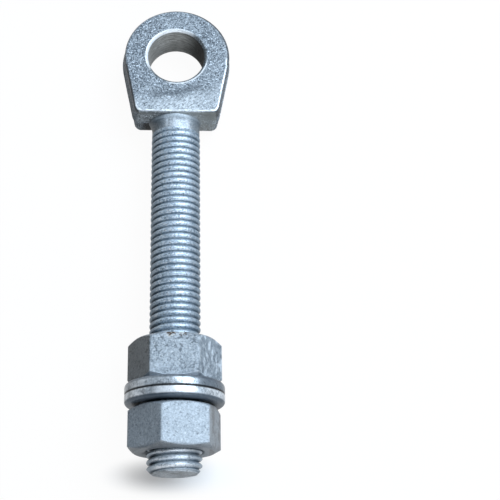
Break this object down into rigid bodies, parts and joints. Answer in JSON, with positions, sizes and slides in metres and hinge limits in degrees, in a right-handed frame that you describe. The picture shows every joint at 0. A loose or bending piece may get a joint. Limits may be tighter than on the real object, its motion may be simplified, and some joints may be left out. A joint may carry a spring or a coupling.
{
  "type": "adjustable gate hinge eye bolt",
  "caption": "Galvanised forged eye on a long threaded bolt, with nuts and thick washers that clamp it to a gate or post so that the hinge can be adjusted.",
  "frame": {"origin": "middle of the eye, on its bore's axis and halfway through its thickness", "axes": "+Z along the eye's bore, the threaded bolt runs along -Y, +X across the eye"},
  "size_m": [0.043, 0.1851, 0.0366],
  "materials": {
    "forged_zinc": "hot-dip galvanised forging, mottled blue-grey",
    "nut_zinc": "spun galvanised, fine speckle",
    "washer_zinc": "galvanised, smoother and brighter on the rim"
  },
  "bodies": {
    "eye_bolt": {"eye_bolt": "forged_zinc"},
    "inner_washer": {"inner_washer": "washer_zinc"},
    "inner_nut": {"inner_nut": "nut_zinc"},
    "outer_washer": {"outer_washer": "washer_zinc"},
    "outer_nut": {"outer_nut": "nut_zinc"}
  },
  "joints": [
    {"name": "inner_washer_slide", "type": "slide", "parent": "eye_bolt", "child": "inner_washer", "axis": [0, 1, 0], "range_m": [0, 0.08]},
    {"name": "inner_nut_turn", "type": "hinge", "parent": "inner_washer", "child": "inner_nut", "pos_m": [0, -0.1233, 0], "axis": [0, 1, 0], "range_deg": [0, 11520]},
    {"name": "outer_washer_slide", "type": "slide", "parent": "eye_bolt", "child": "outer_washer", "axis": [0, 1, 0], "range_m": [-0.005, 0]},
    {"name": "outer_nut_turn", "type": "hinge", "parent": "outer_washer", "child": "outer_nut", "pos_m": [0, -0.148, 0], "axis": [0, 1, 0], "range_deg": [-720, 0]}
  ],
  "couplings": [
    {"joint": "inner_nut_turn", "follows": "inner_washer_slide", "rad_per_m": 2513.3},
    {"joint": "outer_nut_turn", "follows": "outer_washer_slide", "rad_per_m": 2513.3}
  ]
}
